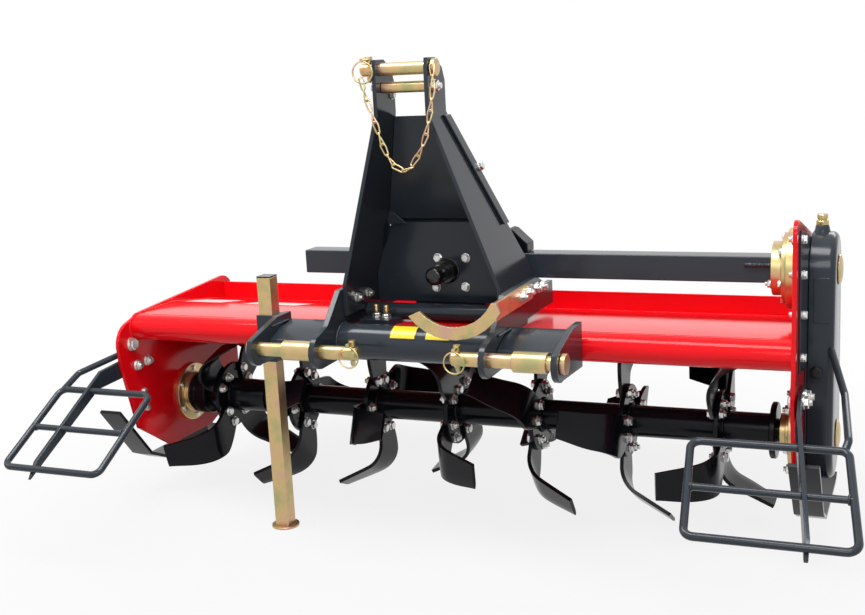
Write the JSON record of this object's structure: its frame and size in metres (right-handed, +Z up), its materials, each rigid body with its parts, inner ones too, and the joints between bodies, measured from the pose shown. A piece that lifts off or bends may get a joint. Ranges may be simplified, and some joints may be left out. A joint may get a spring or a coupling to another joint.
{
  "type": "rotary tiller",
  "caption": "Tractor rotary tiller: three-point hitch mast, hooded rotor with bent tines, side chain case, skids, rod guards, tailboard and a sliding parking stand.",
  "frame": {"origin": "floor level under the middle of the whole machine's bounding box, as it stands on its parking stand and its tines", "axes": "+X to the right seen from the front, which is the chain case side; -Y to the front, where the tractor stands; +Z up"},
  "size_m": [1.7028, 0.967, 0.9947],
  "materials": {
    "red_paint": "gloss",
    "slate_paint": "gloss",
    "black_paint": "gloss",
    "yellow_zinc": "satin",
    "black_plastic": "matte"
  },
  "bodies": {
    "frame": {"beam_left": "slate_paint", "beam_right": "slate_paint", "bearing_left": "yellow_zinc", "bearing_right": "yellow_zinc", "case_base_plate": "slate_paint", "case_cap_lower": "yellow_zinc", "case_cap_upper": "yellow_zinc", "case_cover": "slate_paint", "chain_case": "slate_paint", "driveline_hook": "yellow_zinc", "ear_web_left": "slate_paint", "ear_web_right": "slate_paint", "filler_plug": "yellow_zinc", "front_tube": "red_paint", "gearbox_case": "slate_paint", "gearbox_front_plate": "slate_paint", "guard_left": "slate_paint", "guard_right": "slate_paint", "hitch_tube": "slate_paint", "hood_deck": "red_paint", "linch_pin_left": "yellow_zinc", "linch_pin_right": "yellow_zinc", "linch_pin_top": "yellow_zinc", "link_plate_left": "slate_paint", "link_plate_right": "slate_paint", "lower_pin_left": "yellow_zinc", "lower_pin_right": "yellow_zinc", "mast_back_plate": "slate_paint", "mast_side_left": "slate_paint", "mast_side_right": "slate_paint", "mast_strap_left": "slate_paint", "mast_strap_right": "slate_paint", "outer_ear_left": "slate_paint", "outer_ear_right": "slate_paint", "pin_chain": "yellow_zinc", "pto_seal_housing": "black_plastic", "side_plate_left": "red_paint", "side_plate_right": "red_paint", "skid_left": "black_paint", "skid_right": "black_paint", "stand_sleeve": "slate_paint", "tailboard_rod": "black_paint", "top_pin": "yellow_zinc", "top_spacer": "yellow_zinc", "upper_bearing_housing": "yellow_zinc"},
    "rotor": {"rotor_tube": "black_paint", "rotor_hub_left": "black_paint", "rotor_hub_right": "black_paint", "tine_flange_1": "black_paint", "tine_flange_2": "black_paint", "tine_flange_3": "black_paint", "tine_flange_4": "black_paint", "tine_flange_5": "black_paint", "tine_flange_6": "black_paint", "tine_flange_7": "black_paint"},
    "pto": {"pto_shaft": "black_plastic"},
    "parking_stand": {"stand_leg": "yellow_zinc", "stand_foot": "yellow_zinc", "stand_cap": "black_plastic"},
    "tailboard": {"tailboard": "red_paint"}
  },
  "joints": [
    {"name": "rotor_spin", "type": "hinge", "parent": "frame", "child": "rotor", "pos_m": [-0.02109, 0.08614, 0.21215], "axis": [1, 0, 0], "continuous": true},
    {"name": "pto_spin", "type": "hinge", "parent": "frame", "child": "pto", "pos_m": [-0.0131, -0.00386, 0.54615], "axis": [0, 1, 0], "continuous": true},
    {"name": "stand_slide", "type": "slide", "parent": "frame", "child": "parking_stand", "axis": [0, 0, 1], "range_m": [0, 0.3]},
    {"name": "tailboard_swing", "type": "hinge", "parent": "frame", "child": "tailboard", "pos_m": [-0.02109, 0.28614, 0.39615], "axis": [1, 0, 0], "range_deg": [-50, 15]}
  ],
  "couplings": [
    {"joint": "pto_spin", "follows": "rotor_spin", "ratio": 2.7}
  ]
}
